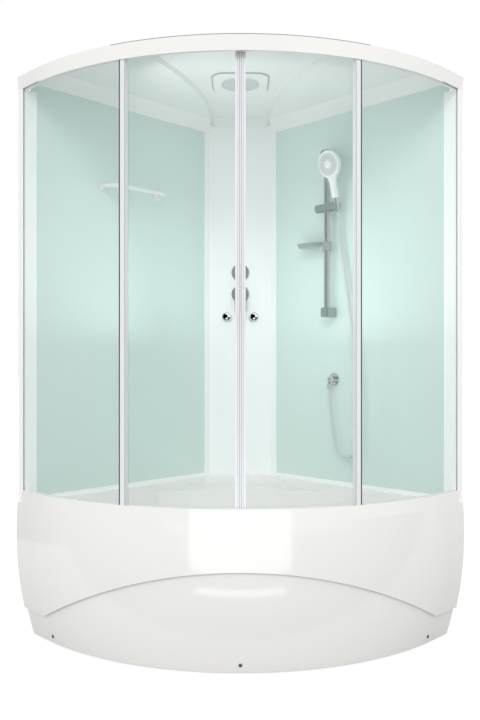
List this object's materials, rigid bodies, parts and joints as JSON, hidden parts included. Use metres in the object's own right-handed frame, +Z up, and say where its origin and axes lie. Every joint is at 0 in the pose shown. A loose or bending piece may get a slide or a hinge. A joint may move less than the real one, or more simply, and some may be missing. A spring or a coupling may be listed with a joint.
{
  "type": "shower cabin",
  "caption": "Quarter-round corner shower cabin: deep moulded tub with apron, wall panels, curved sliding glass doors, roof with rain head, mixer column, hand shower on a riser and towel bar.",
  "frame": {"origin": "centre of the 1200 by 1200 mm footprint, at the floor", "axes": "+Z up, back wall at +Y, left wall at -X, room corner at -X +Y, curved front towards +X -Y"},
  "size_m": [1.2, 1.2, 2.2],
  "materials": {
    "white_acrylic": "gloss",
    "cream_profile": "satin",
    "mint_panel": "gloss",
    "column_white": "gloss",
    "clear_glass": "polished",
    "clear_seal": "satin",
    "dark_rubber": "matte",
    "zinc_steel": "brushed",
    "chrome": "polished",
    "dish_grey": "gloss",
    "white_plastic": "satin",
    "handset_white": "gloss",
    "spray_grey": "satin",
    "bare_brass": "satin",
    "hose_metal": "satin"
  },
  "bodies": {
    "cabin": {"tray": "white_acrylic", "apron": "white_acrylic", "roof": "white_acrylic", "rain_head": "white_acrylic", "nozzle_plate": "white_acrylic", "top_rail": "cream_profile", "bottom_rail": "cream_profile", "wall_posts": "cream_profile", "end_trims": "cream_profile", "column_trims": "cream_profile", "bottom_trims": "cream_profile", "left_wall_panel": "mint_panel", "back_wall_panel": "mint_panel", "corner_column": "column_white", "left_fixed_glass": "clear_glass", "right_fixed_glass": "clear_glass", "edge_posts": "clear_seal", "glazing_seals": "clear_seal", "door_stops": "dark_rubber", "tray_frame": "zinc_steel", "apron_brackets": "zinc_steel", "levelling_feet": "zinc_steel", "apron_screws": "chrome", "drain_flange": "chrome", "valve_plates": "chrome", "riser_rail": "chrome", "riser_brackets": "chrome", "outlet_elbow": "chrome", "hose_nut": "chrome", "towel_bar": "white_plastic", "waste_trap": "white_plastic", "valve_body": "bare_brass", "supply_pipes": "bare_brass", "hose": "hose_metal"},
    "drain_cap": {"drain_cap": "chrome"},
    "mixer": {"mixer_stem": "chrome"},
    "lever": {"mixer_lever": "chrome"},
    "diverter": {"diverter_knob": "chrome"},
    "slider": {"slider": "chrome"},
    "holder": {"holder": "chrome"},
    "handset": {"handset": "handset_white", "spray_face": "spray_grey", "hose_cone": "chrome"},
    "soap_dish": {"soap_dish": "dish_grey"},
    "right_door": {"right_door_glass": "clear_glass", "right_magnetic_seal": "clear_seal", "right_trailing_seal": "clear_seal", "right_knob": "chrome", "right_roller_axles": "chrome", "right_guide_shoes": "white_plastic"},
    "right_lead_wheel": {"right_lead_wheel": "white_plastic"},
    "right_trail_wheel": {"right_trail_wheel": "white_plastic"},
    "left_door": {"left_door_glass": "clear_glass", "left_magnetic_seal": "clear_seal", "left_trailing_seal": "clear_seal", "left_knob": "chrome", "left_roller_axles": "chrome", "left_guide_shoes": "white_plastic"},
    "left_lead_wheel": {"left_lead_wheel": "white_plastic"},
    "left_trail_wheel": {"left_trail_wheel": "white_plastic"}
  },
  "joints": [
    {"name": "right_door_slide", "type": "hinge", "parent": "cabin", "child": "right_door", "pos_m": [-0.496, 0.496, 1.3], "axis": [0, 0, 1], "range_deg": [0, 17.5]},
    {"name": "right_lead_wheel_spin", "type": "hinge", "parent": "right_door", "child": "right_lead_wheel", "pos_m": [0.30758, -0.20254, 2.1003], "axis": [0.7547, -0.6561, 0], "range_deg": [-2140, 60]},
    {"name": "right_trail_wheel_spin", "type": "hinge", "parent": "right_door", "child": "right_trail_wheel", "pos_m": [0.46503, 0.03761, 2.1003], "axis": [0.9026, -0.4305, 0], "range_deg": [-2140, 60]},
    {"name": "left_door_slide", "type": "hinge", "parent": "cabin", "child": "left_door", "pos_m": [-0.496, 0.496, 1.3], "axis": [0, 0, -1], "range_deg": [0, 17.5]},
    {"name": "left_lead_wheel_spin", "type": "hinge", "parent": "left_door", "child": "left_lead_wheel", "pos_m": [0.20254, -0.30758, 2.1003], "axis": [0.6561, -0.7547, 0], "range_deg": [-60, 2140]},
    {"name": "left_trail_wheel_spin", "type": "hinge", "parent": "left_door", "child": "left_trail_wheel", "pos_m": [-0.03761, -0.46503, 2.1003], "axis": [0.4305, -0.9026, 0], "range_deg": [-60, 2140]},
    {"name": "mixer_turn", "type": "hinge", "parent": "cabin", "child": "mixer", "pos_m": [-0.45234, 0.45234, 1.363], "axis": [0.7071, -0.7071, 0], "range_deg": [-45, 45]},
    {"name": "mixer_lift", "type": "hinge", "parent": "mixer", "child": "lever", "pos_m": [-0.45234, 0.45234, 1.363], "axis": [-0.7071, -0.7071, 0], "range_deg": [0, 25]},
    {"name": "diverter_turn", "type": "hinge", "parent": "cabin", "child": "diverter", "pos_m": [-0.46443, 0.46443, 1.463], "axis": [0.7071, -0.7071, 0], "range_deg": [0, 90]},
    {"name": "slider_slide", "type": "slide", "parent": "cabin", "child": "slider", "axis": [0, 0, 1], "range_m": [-0.06, 0.18], "deforming": ["hose"]},
    {"name": "holder_tilt", "type": "hinge", "parent": "slider", "child": "holder", "pos_m": [0.036, 0.53, 1.709], "axis": [1, 0, 0], "range_deg": [-5, 30], "deforming": ["hose"]},
    {"name": "handset_lift", "type": "slide", "parent": "holder", "child": "handset", "axis": [0, -0.2588, 0.9659], "range_m": [0, 0.045], "deforming": ["hose"]},
    {"name": "soap_dish_slide", "type": "slide", "parent": "cabin", "child": "soap_dish", "axis": [0, 0, 1], "range_m": [-0.23, 0.04]},
    {"name": "drain_cap_lift", "type": "slide", "parent": "cabin", "child": "drain_cap", "axis": [0, 0, 1], "range_m": [0, 0.03]}
  ],
  "couplings": [
    {"joint": "right_lead_wheel_spin", "follows": "right_door_slide", "ratio": -118.31},
    {"joint": "right_trail_wheel_spin", "follows": "right_door_slide", "ratio": -118.31},
    {"joint": "left_lead_wheel_spin", "follows": "left_door_slide", "ratio": 118.31},
    {"joint": "left_trail_wheel_spin", "follows": "left_door_slide", "ratio": 118.31}
  ]
}
